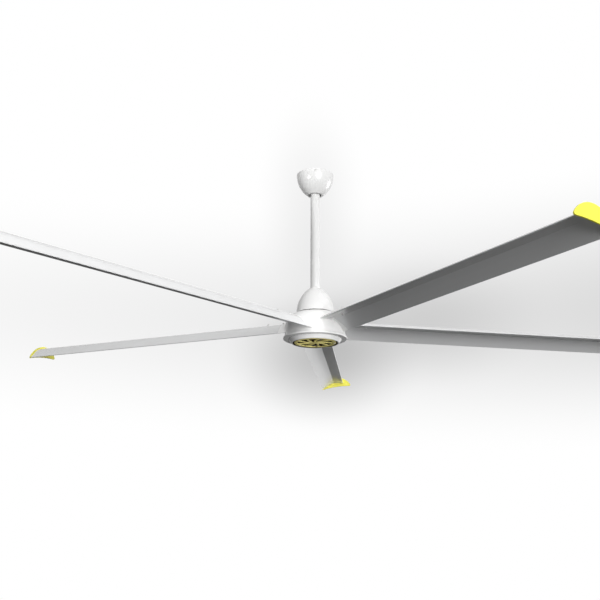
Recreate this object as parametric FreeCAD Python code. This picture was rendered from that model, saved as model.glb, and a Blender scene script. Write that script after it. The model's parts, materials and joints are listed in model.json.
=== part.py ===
import FreeCAD, Part
import math
import os

os.makedirs("parts", exist_ok=True)
Vector = FreeCAD.Vector

# Industrial ceiling fan in millimetres: the ceiling is at height 0 and everything hangs below it

# Whole fan
blade_count = 5
first_blade_angle = 85.3
lip_drop = 1100.0
seat_gap = 0.1
slide_fit = 0.3
running_fit = 0.08

# Ceiling bracket and hanger
bracket_radius = 113.0
bracket_thickness = 6.0
bracket_rim_drop = 26.0
bracket_rim_wall = 4.0
anchor_circle_radius = 85.0
anchor_hole_radius = 6.5
anchor_count = 4
cable_hole_radius = 14.0
pivot_drop = 62.0
ear_thickness = 8.0
ear_width = 52.0
ear_side_gap = 1.0
hanger_bolt_radius = 8.0
hanger_bolt_flats = 24.0
hanger_head_height = 10.0
hanger_nut_height = 13.0
hanger_bolt_spare = 4.0
bush_wall = 6.0

# Canopy
canopy_radius = 120.0
canopy_height = 140.0
canopy_wall = 2.0
canopy_foot_radius = 50.0
canopy_mouth_radius = 39.0
canopy_ceiling_gap = 1.0
canopy_bulge = 19.0
canopy_screw_count = 3
canopy_screw_angle = 30.0
canopy_screw_drop = 17.0
canopy_screw_radius = 2.5
canopy_screw_head_radius = 5.0
canopy_screw_head_height = 3.0

# Downrod and its coupling to the motor shaft
rod_radius = 30.0
rod_wall = 5.0
rod_top_above_pivot = 24.0
coupling_rise = 48.0
coupling_radius = 60.0
coupling_thickness = 12.0
coupling_bolt_circle_radius = 46.0
coupling_bolt_count = 6
coupling_bolt_radius = 5.0
coupling_bolt_flats = 17.0
coupling_head_height = 6.5
coupling_nut_height = 8.0
coupling_bolt_spare = 3.0

# Dome over the coupling
dome_radius = 117.0
dome_height = 157.0
dome_wall = 2.5
dome_top_radius = 40.0
dome_bulge = 21.0
dome_collar_length = 20.0
dome_running_gap = 9.0
dome_screw_count = 2
dome_screw_angle = 50.0
dome_screw_spread = 90.0
dome_screw_radius = 3.0
dome_screw_drop = 10.0
dome_screw_proud = 2.0

# Hub casting
hub_height = 158.0
hub_shoulder_rim = 5.0
hub_wall = 30.0
hub_shoulder_drop = 66.0
hub_shoulder_bulge = 13.0
hub_lip_flare = 12.0
hub_lip_height = 9.0
hub_flare_height = 30.0
hub_flare_sag = 3.0
hub_lip_rounding = 4.0
hub_roof_thickness = 10.0
hub_roof_hole_radius = 100.0
root_length = 20.0
tongue_length = 185.0

# Motor
bearing_bore_radius = 27.5
bearing_outer_radius = 50.0
bearing_width = 21.0
bearing_ring_gap = 0.3
bearing_housing_wall = 12.0
bearing_shoulder = 10.0
upper_bearing_depth = 13.0
lower_bearing_rise = 7.0
shaft_bore_radius = 16.0
shaft_shoulder_radius = 33.0
shaft_thread_radius = 25.0
shaft_nut_radius = 36.0
shaft_nut_height = 12.0
shaft_nut_notches = 4
shaft_thread_spare = 3.0
upper_plate_radius = 127.0
upper_plate_thickness = 10.0
upper_screw_inset = 6.0
upper_screw_radius = 2.5
upper_screw_head_radius = 4.5
upper_screw_head_height = 2.6
upper_screw_length = 16.0
stator_radius = 141.0
stator_stack = 60.0
stator_inner_radius = 94.0
stator_slot_count = 18
stator_yoke = 13.0
stator_tooth_width = 18.0
stator_tooth_lip = 5.0
stator_slot_mouth = 5.0
coil_thickness = 8.0
coil_clearance = 0.5
stator_hub_wall = 8.5
stator_web_thickness = 18.0
stator_rim_wall = 7.0
air_gap = 1.0
magnet_thickness = 6.0
magnet_count = 20
magnet_gap = 3.0
rotor_ring_wall = 8.0
rotor_ring_height = 70.0
lower_plate_rim = 10.0
lower_plate_thickness = 10.0
lower_screw_count = 10
lower_screw_radius = 2.5
lower_screw_head_radius = 4.0
lower_screw_head_height = 3.0
lower_screw_length = 22.0

# Bottom cover and grille
cover_setback = 1.0
cover_depth = 23.0
cover_wall = 3.0
cover_side_gap = 11.0
cover_foot_width = 7.0
grille_radius = 129.0
grille_ring_width = 19.0
grille_rounding = 2.2
grille_thickness = 6.0
grille_boss_radius = 17.0
spoke_count = 9
spoke_width = 12.0
spoke_thickness = 5.0
spoke_sweep = 46.0
spoke_bow = 9.0
grille_screw_count = 5
grille_screw_radius = 2.0
grille_screw_head_radius = 4.0
grille_screw_head_height = 2.0
grille_screw_engagement = 10.0
grille_boss_wall = 4.5

# Blade section, measured along the chord from the nose corner and square to it
blade_end_radius = 2138.0
blade_start_gap = 0.5
blade_chord = 194.0
blade_pitch = 16.1
nose_offset = -78.0
nose_rise = 86.1
nose_rounding = 4.0
flat_length = 82.7
crease_height = 28.0
tail_sag = 4.0
tail_thickness = 4.0
crest_position = 89.3
crest_height = 53.1
crown_run = 56.2
blade_wall = 2.5
web_position = 118.0
web_thickness = 3.0

# Blade fastening
blade_bolt_inner_radius = 219.0
blade_bolt_spacing = 107.0
blade_bolt_radius = 5.0
blade_bolt_head_radius = 9.0
blade_bolt_head_height = 5.0
blade_bolt_head_bulge = 2.0
blade_nut_flats = 17.0
blade_nut_height = 8.0
blade_nut_dome = 7.0
blade_nut_dome_radius = 7.5

# Tip cap, its outline measured like the blade section
cap_thickness = 9.0
cap_lobe = 54.0
cap_drop = 40.0
cap_crest_position = 68.0
cap_crest_rise = 12.0
cap_belly = 10.0
cap_tail_cover = 3.0
cap_lobe_rounding = 9.0
cap_rim_rounding = 2.0
cap_plug_length = 45.0
cap_plug_wall = 4.0
cap_hollow_depth = 3.0
cap_screw_inset = 22.0
cap_screw_radius = 2.0
cap_screw_head_radius = 4.0
cap_screw_head_height = 1.6

# Heights worked out from the sizes above
lip_z = -lip_drop
hub_top_z = lip_z + hub_height
dome_base_z = hub_top_z + dome_running_gap
dome_top_z = dome_base_z + dome_height
coupling_z = dome_base_z + coupling_rise
pivot_z = -pivot_drop
upper_bearing_top = hub_top_z - upper_bearing_depth
lower_bearing_bottom = lip_z + lower_bearing_rise
lower_plate_top = lip_z + lower_plate_thickness
motor_middle_z = (upper_bearing_top + lower_bearing_bottom) / 2
grille_face_z = lip_z - cover_depth
cover_flange_top = grille_face_z + grille_thickness + cover_wall
rotor_ring_inner = stator_radius + air_gap + magnet_thickness
rotor_ring_outer = rotor_ring_inner + rotor_ring_wall
hub_wall_radius = rotor_ring_outer + hub_wall
hub_lip_radius = hub_wall_radius + hub_lip_flare
hub_shoulder_radius = upper_plate_radius + hub_shoulder_rim
upper_screw_circle_radius = upper_plate_radius - upper_screw_inset
lower_plate_radius = rotor_ring_outer + lower_plate_rim
lower_screw_circle_radius = rotor_ring_outer + lower_plate_rim / 2
cover_radius = lower_plate_radius - cover_setback
cover_inner_radius = grille_radius + cover_side_gap
cover_flange_inner_radius = grille_radius - grille_ring_width
grille_screw_circle_radius = grille_radius - grille_ring_width / 2
root_end = hub_wall_radius + root_length
bearing_pitch_radius = (bearing_bore_radius + bearing_outer_radius) / 2
up = Vector(0, 0, 1)
centre = Vector(0, 0, 0)


# Helpers
def path_edges(stretches):
    edges = []
    for stretch in stretches:
        if len(stretch) == 2:
            edges.append(Part.LineSegment(*stretch).toShape())
        else:
            edges.append(Part.Arc(*stretch).toShape())
    return edges


def face_of(stretches):
    return Part.Face(Part.Wire(path_edges(stretches)))


def rz(radius, height):
    return Vector(radius, 0, height)


def revolved(stretches):
    return face_of(stretches).revolve(centre, up, 360)


def polygon_stretches(points):
    return [(points[i - 1], points[i]) for i in range(len(points))]


def tube(inner, outer, low, high):
    ring = Part.makeCylinder(outer, high - low, Vector(0, 0, low))
    return ring.cut(Part.makeCylinder(inner, high - low, Vector(0, 0, low)))


def disc(radius, low, high):
    return Part.makeCylinder(radius, high - low, Vector(0, 0, low))


def radial_bar(length, width, low, high):
    return Part.makeBox(length, width, high - low, Vector(0, -width / 2, low))


def hexagon(across_flats, height):
    corner = across_flats / math.sqrt(3)
    points = []
    for i in range(6):
        angle = math.radians(60 * i)
        points.append(Vector(corner * math.cos(angle), corner * math.sin(angle), 0))
    return face_of(polygon_stretches(points)).extrude(up * height)


def turned(shape, degrees):
    copy = shape.copy()
    copy.rotate(centre, up, degrees)
    return copy


def moved(shape, place):
    copy = shape.copy()
    copy.translate(place)
    return copy


def aimed(shape, place, direction):
    copy = shape.copy()
    copy.Placement = FreeCAD.Placement(place, FreeCAD.Rotation(up, direction))
    return copy


def around(shape, count, start=0.0):
    return [turned(shape, start + 360.0 * i / count) for i in range(count)]


def polar(radius, degrees, height):
    angle = math.radians(degrees)
    return Vector(radius * math.cos(angle), radius * math.sin(angle), height)


def bowed_middle(start, end, bow):
    along = end.sub(start)
    side = Vector(along.z, 0, -along.x).normalize()
    return start.add(end).multiply(0.5).add(side.multiply(bow))


def arc_radius_at(stretch, height):
    circle = Part.Arc(*stretch).toShape().Curve
    return circle.Center.x + math.sqrt(circle.Radius ** 2 - (height - circle.Center.z) ** 2)


def screw(radius, length, head_radius, head_height):
    shank = Part.makeCylinder(radius, length)
    return shank.fuse(Part.makeCylinder(head_radius, head_height, Vector(0, 0, -head_height)))


def screw_way(radius, length):
    return Part.makeCylinder(radius + seat_gap, length + seat_gap)


def drilled(body, ways):
    for way in ways:
        body = body.cut(way)
    return body


def save(name, solids):
    shape = solids[0] if len(solids) == 1 else Part.makeCompound(solids)
    shape.exportStep("parts/" + name + ".step")
    print(name, len(shape.Solids), "valid" if shape.isValid() else "BROKEN", round(shape.Volume / 1000.0, 1))


# Ceiling bracket: a plate with a turned-down rim and two ears for the cross bolt
def ceiling_bracket():
    plate = disc(bracket_radius, -bracket_thickness, 0)
    rim = tube(bracket_radius - bracket_rim_wall, bracket_radius, -bracket_rim_drop, -bracket_thickness)
    body = plate.fuse(rim)
    inner = rod_radius + ear_side_gap
    half = ear_width / 2
    foot = -bracket_thickness
    for side in (-1, 1):
        outline = [
            (Vector(side * inner, -half, foot), Vector(side * inner, half, foot)),
            (Vector(side * inner, half, foot), Vector(side * inner, half, pivot_z)),
            (Vector(side * inner, half, pivot_z), Vector(side * inner, 0, pivot_z - half),
             Vector(side * inner, -half, pivot_z)),
            (Vector(side * inner, -half, pivot_z), Vector(side * inner, -half, foot)),
        ]
        body = body.fuse(face_of(outline).extrude(Vector(side * ear_thickness, 0, 0)))
    reach = inner + ear_thickness
    bolt_way = Part.makeCylinder(hanger_bolt_radius + running_fit, 2 * reach, Vector(-reach, 0, pivot_z),
                                 Vector(1, 0, 0))
    body = body.cut(bolt_way)
    body = body.cut(disc(cable_hole_radius, -bracket_thickness, 0))
    for i in range(anchor_count):
        place = polar(anchor_circle_radius, 45 + 360.0 * i / anchor_count, -bracket_thickness)
        body = body.cut(Part.makeCylinder(anchor_hole_radius, bracket_thickness, place))
    return drilled(body, canopy_screw_ways()).removeSplitter()


# Hanger: the cross bolt, its nut and the rubber bush in the pipe
def hanger_bolt():
    grip = 2 * (rod_radius + ear_side_gap + ear_thickness)
    length = grip + hanger_nut_height + hanger_bolt_spare
    shank = Part.makeCylinder(hanger_bolt_radius, length, Vector(0, 0, -length))
    bolt = shank.fuse(hexagon(hanger_bolt_flats, hanger_head_height))
    return aimed(bolt, Vector(grip / 2, 0, pivot_z), Vector(1, 0, 0))


def hanger_nut():
    nut = hexagon(hanger_bolt_flats, hanger_nut_height)
    nut = nut.cut(Part.makeCylinder(hanger_bolt_radius + seat_gap, hanger_nut_height))
    reach = rod_radius + ear_side_gap + ear_thickness
    return aimed(nut, Vector(-reach, 0, pivot_z), Vector(-1, 0, 0))


def hanger_bush():
    half = rod_radius + ear_side_gap - slide_fit
    bush = tube(hanger_bolt_radius + running_fit, hanger_bolt_radius + bush_wall, -half, half)
    return aimed(bush, Vector(0, 0, pivot_z), Vector(1, 0, 0))


# Canopy: a bowl with its rim at the ceiling and a turned-in foot with an open mouth round the pipe
def canopy_stretch(inset):
    top = rz(canopy_radius - inset, -canopy_ceiling_gap)
    foot = rz(canopy_foot_radius, -canopy_height + inset)
    return top, bowed_middle(foot, top, canopy_bulge), foot


def canopy():
    outer_top, outer_mid, outer_foot = canopy_stretch(0)
    inner_top, inner_mid, inner_foot = canopy_stretch(canopy_wall)
    mouth_low = rz(canopy_mouth_radius, outer_foot.z)
    mouth_high = rz(canopy_mouth_radius, inner_foot.z)
    shell = revolved([
        (outer_top, outer_mid, outer_foot),
        (outer_foot, mouth_low),
        (mouth_low, mouth_high),
        (mouth_high, inner_foot),
        (inner_foot, inner_mid, inner_top),
        (inner_top, outer_top),
    ])
    return drilled(shell, canopy_screw_ways())


def canopy_screw_seat():
    return arc_radius_at(canopy_stretch(0), canopy_screw_head_radius - canopy_screw_drop) + seat_gap


def canopy_screw_length():
    return canopy_screw_seat() - bracket_radius + bracket_rim_wall


def at_canopy_screws(shape):
    place = Vector(canopy_screw_seat(), 0, -canopy_screw_drop)
    return around(aimed(shape, place, Vector(-1, 0, 0)), canopy_screw_count, canopy_screw_angle)


def canopy_screw_ways():
    return at_canopy_screws(screw_way(canopy_screw_radius, canopy_screw_length()))


def canopy_screws():
    return at_canopy_screws(screw(canopy_screw_radius, canopy_screw_length(), canopy_screw_head_radius,
                                  canopy_screw_head_height))


# Downrod: a pipe with a cross hole at the top and a flange at the foot
def coupling_holes(low, high):
    place = Vector(coupling_bolt_circle_radius, 0, low)
    return around(Part.makeCylinder(coupling_bolt_radius + seat_gap, high - low, place), coupling_bolt_count)


def downrod():
    flange_top = coupling_z + coupling_thickness
    pipe = tube(rod_radius - rod_wall, rod_radius, coupling_z, pivot_z + rod_top_above_pivot)
    flange = tube(rod_radius - rod_wall, coupling_radius, coupling_z, flange_top)
    body = pipe.fuse(flange)
    cross = Part.makeCylinder(hanger_bolt_radius + bush_wall + seat_gap, 2 * rod_radius,
                              Vector(-rod_radius, 0, pivot_z), Vector(1, 0, 0))
    body = body.cut(cross)
    return drilled(body, coupling_holes(coupling_z, flange_top)).removeSplitter()


def coupling_bolts():
    under_head = coupling_z + coupling_thickness
    length = 2 * coupling_thickness + coupling_nut_height + coupling_bolt_spare
    shank = Part.makeCylinder(coupling_bolt_radius, length, Vector(0, 0, -length))
    bolt = shank.fuse(hexagon(coupling_bolt_flats, coupling_head_height))
    return around(moved(bolt, Vector(coupling_bolt_circle_radius, 0, under_head)), coupling_bolt_count)


def coupling_nuts():
    nut = hexagon(coupling_bolt_flats, coupling_nut_height)
    nut = nut.cut(Part.makeCylinder(coupling_bolt_radius + seat_gap, coupling_nut_height))
    low = coupling_z - coupling_thickness - coupling_nut_height
    return around(moved(nut, Vector(coupling_bolt_circle_radius, 0, low)), coupling_bolt_count)


# Dome: a bell that hugs the pipe and stops just above the hub
def dome_stretch(inset):
    foot = rz(dome_radius - inset, dome_base_z)
    top = rz(dome_top_radius, dome_top_z - inset)
    return foot, bowed_middle(top, foot, -dome_bulge), top


def dome_cover():
    outer_foot, outer_mid, outer_top = dome_stretch(0)
    inner_foot, inner_mid, inner_top = dome_stretch(dome_wall)
    bore = rod_radius + slide_fit
    shell = revolved([
        (outer_foot, outer_mid, outer_top),
        (outer_top, rz(bore, dome_top_z)),
        (rz(bore, dome_top_z), rz(bore, dome_top_z - dome_collar_length)),
        (rz(bore, dome_top_z - dome_collar_length), rz(dome_top_radius, dome_top_z - dome_collar_length)),
        (rz(dome_top_radius, dome_top_z - dome_collar_length), inner_top),
        (inner_top, inner_mid, inner_foot),
        (inner_foot, outer_foot),
    ])
    return drilled(shell, at_dome_screws(screw_way(dome_screw_radius, dome_radius)))


def at_dome_screws(shape):
    place = Vector(rod_radius + seat_gap, 0, dome_top_z - dome_screw_drop)
    one = aimed(shape, place, Vector(1, 0, 0))
    return [turned(one, dome_screw_angle + dome_screw_spread * i) for i in range(dome_screw_count)]


def dome_set_screws():
    outside = arc_radius_at(dome_stretch(0), dome_top_z - dome_screw_drop)
    return at_dome_screws(Part.makeCylinder(dome_screw_radius, outside + dome_screw_proud - rod_radius))


# Motor shaft: hollow and standing still, with a flange under the pipe's flange
def motor_shaft():
    flange_low = coupling_z - coupling_thickness
    nut_low = lower_bearing_bottom - shaft_nut_height - shaft_thread_spare
    body = disc(coupling_radius, flange_low, coupling_z)
    body = body.fuse(disc(shaft_shoulder_radius, upper_bearing_top, flange_low))
    body = body.fuse(disc(bearing_bore_radius - seat_gap, lower_bearing_bottom, upper_bearing_top))
    body = body.fuse(disc(shaft_thread_radius, nut_low, lower_bearing_bottom))
    body = body.cut(disc(shaft_bore_radius, nut_low, coupling_z))
    return drilled(body, coupling_holes(flange_low, coupling_z)).removeSplitter()


def shaft_nut():
    low = lower_bearing_bottom - shaft_nut_height
    nut = tube(shaft_thread_radius + seat_gap, shaft_nut_radius, low, lower_bearing_bottom)
    notch = Part.makeBox(shaft_nut_height, shaft_nut_height, shaft_nut_height,
                         Vector(shaft_nut_radius - shaft_nut_height / 3, -shaft_nut_height / 2, low))
    return drilled(nut, around(notch, shaft_nut_notches))


# Bearings: two alike, each an inner and an outer ring with a running gap
def bearing_places():
    return [upper_bearing_top - bearing_width, lower_bearing_bottom]


def bearing_inner_rings():
    outer = bearing_pitch_radius - bearing_ring_gap / 2
    return [tube(bearing_bore_radius, outer, low, low + bearing_width) for low in bearing_places()]


def bearing_outer_rings():
    inner = bearing_pitch_radius + bearing_ring_gap / 2
    return [tube(inner, bearing_outer_radius, low, low + bearing_width) for low in bearing_places()]


# Stator: a hub on the shaft, a toothed core and one coil on each tooth
def stator_hub():
    sleeve_low = lower_bearing_bottom + bearing_width
    sleeve_high = upper_bearing_top - bearing_width
    bore = bearing_bore_radius
    rim_outer = stator_inner_radius - slide_fit
    body = tube(bore, bore + stator_hub_wall, sleeve_low, sleeve_high)
    half_web = stator_web_thickness / 2
    half_stack = stator_stack / 2
    body = body.fuse(tube(bore, rim_outer, motor_middle_z - half_web, motor_middle_z + half_web))
    rim_inner = rim_outer - stator_rim_wall
    rim = tube(rim_inner, rim_outer, motor_middle_z - half_stack, motor_middle_z + half_stack)
    return body.fuse(rim).removeSplitter()


def stator_core():
    low = motor_middle_z - stator_stack / 2
    high = motor_middle_z + stator_stack / 2
    core = tube(stator_inner_radius, stator_radius, low, high)
    slot_inner = stator_inner_radius + stator_yoke
    slot_ring = tube(slot_inner, stator_radius - stator_tooth_lip, low, high)
    tooth = radial_bar(stator_radius, stator_tooth_width, low, high)
    mouth = radial_bar(stator_radius, stator_slot_mouth, low, high)
    mouth_ring = tube(slot_inner, stator_radius + stator_tooth_lip, low, high)
    slots = slot_ring.cut(Part.makeCompound(around(tooth, stator_slot_count)))
    mouths = Part.makeCompound(around(mouth, stator_slot_count, 180.0 / stator_slot_count))
    return core.cut(slots).cut(mouths.common(mouth_ring))


def stator_coils():
    inner = stator_inner_radius + stator_yoke + coil_clearance
    half_hole = stator_tooth_width / 2 + coil_clearance
    half_stack = stator_stack / 2 + coil_clearance
    half_width = half_hole + coil_thickness
    outer = math.sqrt((stator_radius - stator_tooth_lip - coil_clearance) ** 2 - half_width ** 2)
    half_height = half_stack + coil_thickness
    block = Part.makeBox(outer - inner, 2 * half_width, 2 * half_height,
                         Vector(inner, -half_width, motor_middle_z - half_height))
    hole = Part.makeBox(outer - inner, 2 * half_hole, 2 * half_stack,
                        Vector(inner, -half_hole, motor_middle_z - half_stack))
    half_pitch = math.pi / stator_slot_count
    wedge_reach = stator_radius / math.cos(half_pitch)
    side = wedge_reach * math.sin(half_pitch)
    corners = [centre, Vector(stator_radius, -side, 0), Vector(stator_radius, side, 0)]
    wedge = face_of(polygon_stretches(corners)).extrude(up * 2 * half_height)
    wedge = moved(wedge, Vector(coil_clearance / math.sin(half_pitch), 0, motor_middle_z - half_height))
    return around(block.cut(hole).common(wedge), stator_slot_count)


# Rotor ring and magnets inside the hub
def rotor_ring():
    half = rotor_ring_height / 2
    return tube(rotor_ring_inner, rotor_ring_outer - slide_fit, motor_middle_z - half, motor_middle_z + half)


def rotor_magnets():
    half = stator_stack / 2
    inner = stator_radius + air_gap
    ring = tube(inner, rotor_ring_inner - slide_fit, motor_middle_z - half, motor_middle_z + half)
    step = 360.0 / magnet_count
    reach = 2 * rotor_ring_outer
    slit = radial_bar(reach, magnet_gap, motor_middle_z - half, motor_middle_z + half)
    wedge_side = reach * math.tan(math.radians(step))
    corners = [centre, Vector(reach, 0, 0), Vector(reach, wedge_side, 0)]
    wedge = face_of(polygon_stretches(corners)).extrude(up * stator_stack)
    wedge = moved(wedge, Vector(0, 0, motor_middle_z - half))
    magnet = ring.common(wedge).cut(slit).cut(turned(slit, step))
    return around(magnet, magnet_count)


# Blade section in the chord frame
def on_section(along, above, radius):
    pitch = math.radians(blade_pitch)
    side = nose_offset + along * math.cos(pitch) + above * math.sin(pitch)
    height = lip_z + nose_rise - along * math.sin(pitch) + above * math.cos(pitch)
    return Vector(radius, side, height)


def section_wire(radius):
    slope = math.atan2(crease_height, flat_length)
    top_radius = (crest_position ** 2 + crest_height ** 2) / (2 * crest_height)
    top_y = crest_height - top_radius
    # nose rounding: touches the flat underside and, from inside, the round top
    start_x = -nose_rounding * math.sin(slope)
    start_y = nose_rounding * math.cos(slope)
    back_x = start_x - crest_position
    back_y = start_y - top_y
    half_b = back_x * math.cos(slope) + back_y * math.sin(slope)
    rest = back_x ** 2 + back_y ** 2 - (top_radius - nose_rounding) ** 2
    step = -half_b - math.sqrt(half_b ** 2 - rest)
    nose_x = start_x + step * math.cos(slope)
    nose_y = start_y + step * math.sin(slope)
    out = math.atan2(nose_y - top_y, nose_x - crest_position)
    nose_high = (crest_position + top_radius * math.cos(out), top_y + top_radius * math.sin(out))
    nose_low = (nose_x + nose_rounding * math.sin(slope), nose_y - nose_rounding * math.cos(slope))
    middle = (out + slope - math.pi / 2 + 2 * math.pi) / 2
    nose_front = (nose_x + nose_rounding * math.cos(middle), nose_y + nose_rounding * math.sin(middle))
    # end of the round top, from where a straight line runs to the tail
    crown_end = (crest_position + crown_run, top_y + math.sqrt(top_radius ** 2 - crown_run ** 2))
    # underside behind the crease
    back_length = math.hypot(blade_chord - flat_length, crease_height)
    sag_x = (flat_length + blade_chord) / 2 + tail_sag * crease_height / back_length
    sag_y = crease_height / 2 + tail_sag * (blade_chord - flat_length) / back_length
    crease = (flat_length, crease_height)
    tail_low = (blade_chord, 0)
    tail_high = (blade_chord, tail_thickness)
    crest = (crest_position, crest_height)
    stretches = [
        (nose_low, crease),
        (crease, (sag_x, sag_y), tail_low),
        (tail_low, tail_high),
        (tail_high, crown_end),
        (crown_end, crest, nose_high),
        (nose_high, nose_front, nose_low),
    ]
    return Part.Wire(path_edges([[on_section(x, y, radius) for x, y in stretch] for stretch in stretches]))


def section_prism(wire, length):
    return Part.Face(wire).extrude(Vector(length, 0, 0))


def web_slab(start, length, thickness):
    pitch_axis = Vector(1, 0, 0)
    slab = Part.makeBox(length, thickness, 4 * crest_height, Vector(start, -thickness / 2, -2 * crest_height))
    slab.rotate(Vector(start, 0, 0), pitch_axis, -blade_pitch)
    return moved(slab, on_section(web_position, 0, 0))


def cell_prisms(start, length, inset, web_width):
    inside = section_wire(start).makeOffset2D(-inset)
    return section_prism(inside, length).cut(web_slab(start, length, web_width)).Solids


def front_cell(cells):
    return min(cells, key=lambda cell: cell.CenterOfMass.y)


# Hub casting: a turned body with five blade roots and five tongues inside the blades
def hub_outside():
    top_in = rz(0, hub_top_z)
    top_out = rz(hub_shoulder_radius, hub_top_z)
    wall_high = rz(hub_wall_radius, hub_top_z - hub_shoulder_drop)
    wall_low = rz(hub_wall_radius, lip_z + hub_lip_height + hub_flare_height)
    lip_high = rz(hub_lip_radius, lip_z + hub_lip_height)
    lip_low = rz(hub_lip_radius, lip_z + hub_lip_rounding)
    foot_out = rz(hub_lip_radius - hub_lip_rounding, lip_z)
    corner = hub_lip_rounding * (1 - math.sqrt(0.5))
    lip_round = rz(hub_lip_radius - corner, lip_z + corner)
    foot_in = rz(0, lip_z)
    return revolved([
        (top_in, top_out),
        (top_out, bowed_middle(wall_high, top_out, hub_shoulder_bulge), wall_high),
        (wall_high, wall_low),
        (wall_low, bowed_middle(wall_low, lip_high, hub_flare_sag), lip_high),
        (lip_high, lip_low),
        (lip_low, lip_round, foot_out),
        (foot_out, foot_in),
        (foot_in, top_in),
    ])


def hub_inside():
    roof = hub_top_z - upper_plate_thickness - hub_roof_thickness
    ring_top = motor_middle_z + rotor_ring_height / 2
    room = disc(upper_plate_radius + slide_fit, hub_top_z - upper_plate_thickness, hub_top_z)
    room = room.fuse(disc(hub_roof_hole_radius, roof, hub_top_z))
    room = room.fuse(disc(rotor_ring_inner, ring_top, roof))
    room = room.fuse(disc(rotor_ring_outer, lower_plate_top, ring_top))
    return room.fuse(disc(lower_plate_radius + slide_fit, lip_z, lower_plate_top))


def hub_casting():
    start = stator_radius
    root = section_prism(section_wire(start / 2), root_end - start / 2)
    tongue = front_cell(cell_prisms(start, root_end + tongue_length - start, blade_wall + slide_fit,
                                    web_thickness + 2 * slide_fit))
    arm = drilled(root.fuse(tongue), [bolt_way(axis_radius) for axis_radius in blade_bolt_radii()])
    body = hub_outside().fuse(around(arm, blade_count, first_blade_angle))
    body = drilled(body.cut(hub_inside()), upper_screw_ways() + lower_screw_ways())
    return body.removeSplitter()


# Upper end plate: sits in the hub's top and holds the upper bearing
def upper_end_plate():
    low = hub_top_z - upper_plate_thickness
    spigot_low = low - hub_roof_thickness
    housing_low = upper_bearing_top - bearing_width
    body = disc(upper_plate_radius, low, hub_top_z)
    body = body.fuse(disc(hub_roof_hole_radius - slide_fit, spigot_low, low))
    body = body.fuse(disc(bearing_outer_radius + bearing_housing_wall, housing_low, low))
    body = body.cut(disc(bearing_outer_radius - bearing_shoulder, housing_low, hub_top_z))
    body = body.cut(disc(bearing_outer_radius + seat_gap, housing_low, upper_bearing_top))
    return drilled(body, upper_screw_ways()).removeSplitter()


def at_upper_screws(shape):
    place = Vector(upper_screw_circle_radius, 0, hub_top_z)
    return around(aimed(shape, place, Vector(0, 0, -1)), blade_count, first_blade_angle)


def upper_screw_ways():
    return at_upper_screws(screw_way(upper_screw_radius, upper_screw_length))


def upper_plate_screws():
    return at_upper_screws(screw(upper_screw_radius, upper_screw_length, upper_screw_head_radius,
                                 upper_screw_head_height))


# Lower end plate: closes the motor, holds the lower bearing and the bosses for the grille
def lower_end_plate():
    housing_high = lower_bearing_bottom + bearing_width
    body = disc(lower_plate_radius, lip_z, lower_plate_top)
    body = body.fuse(disc(bearing_outer_radius + bearing_housing_wall, lower_plate_top, housing_high))
    body = body.cut(disc(bearing_outer_radius - bearing_shoulder, lip_z, housing_high))
    body = body.cut(disc(bearing_outer_radius + seat_gap, lower_bearing_bottom, housing_high))
    boss = Part.makeCylinder(grille_screw_radius + grille_boss_wall, lip_z - cover_flange_top,
                             Vector(grille_screw_circle_radius, 0, cover_flange_top))
    body = body.fuse(around(boss, grille_screw_count))
    sinks = at_lower_screws(disc(lower_screw_head_radius + seat_gap, -lower_screw_head_height, 0))
    return drilled(body, sinks + lower_screw_ways() + grille_screw_ways()).removeSplitter()


def at_lower_screws(shape):
    place = Vector(lower_screw_circle_radius, 0, lip_z + lower_screw_head_height)
    return around(moved(shape, place), lower_screw_count, first_blade_angle)


def lower_screw_ways():
    return at_lower_screws(screw_way(lower_screw_radius, lower_screw_length))


def lower_plate_screws():
    return at_lower_screws(screw(lower_screw_radius, lower_screw_length, lower_screw_head_radius,
                                 lower_screw_head_height))


# Bottom cover: a conical ring with a flange that the grille rests on
def bottom_cover():
    flange_low = cover_flange_top - cover_wall
    foot_radius = cover_inner_radius + cover_foot_width
    points = [
        rz(cover_radius, lip_z),
        rz(foot_radius, grille_face_z),
        rz(cover_inner_radius, grille_face_z),
        rz(cover_inner_radius, flange_low),
        rz(cover_flange_inner_radius, flange_low),
        rz(cover_flange_inner_radius, cover_flange_top),
        rz(foot_radius, cover_flange_top),
        rz(cover_radius - cover_wall, lip_z),
    ]
    return drilled(revolved(polygon_stretches(points)), grille_screw_ways())


# Grille: a ring, a small boss and curved spokes like a pinwheel, rounded on the side that is seen
def spoke_stretches(offset):
    inner = grille_boss_radius - spoke_width / 2
    outer = grille_radius - grille_ring_width / 2
    start = Vector(inner, 0, 0)
    end = polar(outer, spoke_sweep, 0)
    along = end.sub(start)
    side = Vector(along.y, -along.x, 0).normalize()
    shift = Vector(side).multiply(offset)
    middle = start.add(end).multiply(0.5).add(Vector(side).multiply(spoke_bow + offset))
    return start.add(shift), middle, end.add(shift)


def grille():
    low = grille_face_z
    high = grille_face_z + grille_thickness
    body = tube(grille_radius - grille_ring_width, grille_radius, low, high)
    body = body.fuse(disc(grille_boss_radius, low, low + spoke_thickness))
    right_start, right_middle, right_end = spoke_stretches(spoke_width / 2)
    left_start, left_middle, left_end = spoke_stretches(-spoke_width / 2)
    outline = [
        (right_start, right_middle, right_end),
        (right_end, left_end),
        (left_end, left_middle, left_start),
        (left_start, right_start),
    ]
    spoke = moved(face_of(outline).extrude(up * spoke_thickness), Vector(0, 0, low))
    body = body.fuse(around(spoke, spoke_count)).removeSplitter()
    seen_side = min(body.Faces, key=lambda side: side.CenterOfMass.z)
    body = body.makeFillet(grille_rounding, seen_side.Edges)
    return drilled(body, grille_screw_ways())


def at_grille_screws(shape):
    return around(moved(shape, Vector(grille_screw_circle_radius, 0, grille_face_z)), grille_screw_count)


def grille_screw_length():
    return grille_thickness + cover_wall + grille_screw_engagement


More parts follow.
